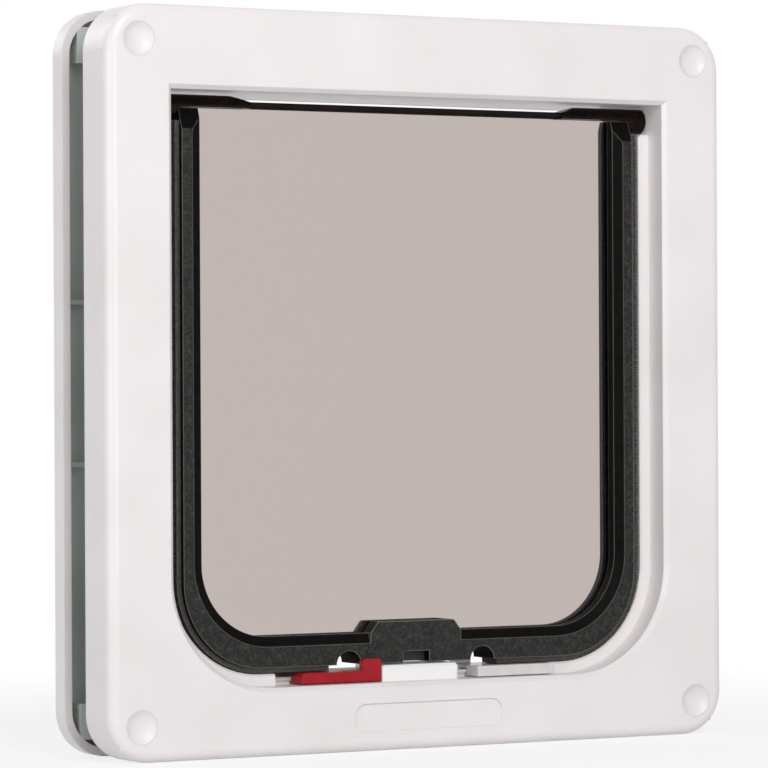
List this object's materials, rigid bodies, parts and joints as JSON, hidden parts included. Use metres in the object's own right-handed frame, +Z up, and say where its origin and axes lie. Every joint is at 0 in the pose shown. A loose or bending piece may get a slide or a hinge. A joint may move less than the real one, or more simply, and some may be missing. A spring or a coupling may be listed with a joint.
{
  "type": "lockable cat flap",
  "caption": "Cat flap for a door: two screwed-together frames, a hinged smoked pane in a black surround, and red and clear sliding catches that lock it each way.",
  "frame": {"origin": "middle of the footprint, under the flap, on the surface that the two frames stand on", "axes": "+X across the flap to the right as seen from the room, +Y through the door from the room side outwards, +Z up"},
  "size_m": [0.196, 0.0344, 0.202],
  "materials": {
    "white_frame": "satin moulded",
    "white_bridge": "gloss moulded",
    "white_cap": "satin moulded",
    "smoked_pane": "clear smoked, polished",
    "black_surround": "spark-textured",
    "brush_pile": "short dense pile",
    "red_catch": "gloss moulded",
    "clear_catch": "clear moulded",
    "screw_steel": "zinc plated",
    "pin_steel": "ground",
    "magnet": "sintered ferrite"
  },
  "bodies": {
    "frame": {"front_frame": "white_frame", "rear_frame": "white_frame", "latch_bridge": "white_bridge", "frame_magnet": "magnet", "frame_screw_top_left": "screw_steel", "frame_screw_top_right": "screw_steel", "frame_screw_bottom_left": "screw_steel", "frame_screw_bottom_right": "screw_steel", "screw_cap_top_left": "white_cap", "screw_cap_top_right": "white_cap", "screw_cap_bottom_left": "white_cap", "screw_cap_bottom_right": "white_cap"},
    "flap": {"flap_pane": "smoked_pane", "flap_surround": "black_surround", "flap_magnet": "magnet", "draught_brush_left": "brush_pile", "draught_brush_right": "brush_pile", "pivot_pin_left": "pin_steel", "pivot_pin_right": "pin_steel"},
    "red_catch": {"red_catch": "red_catch"},
    "clear_catch": {"clear_catch": "clear_catch"}
  },
  "joints": [
    {"name": "flap_swing", "type": "hinge", "parent": "frame", "child": "flap", "pos_m": [0, -0.00475, 0.1754], "axis": [1, 0, 0], "range_deg": [-75, 75]},
    {"name": "red_catch_slide", "type": "slide", "parent": "frame", "child": "red_catch", "axis": [-1, 0, 0], "range_m": [0, 0.006]},
    {"name": "clear_catch_slide", "type": "slide", "parent": "frame", "child": "clear_catch", "axis": [-1, 0, 0], "range_m": [0, 0.006]}
  ]
}
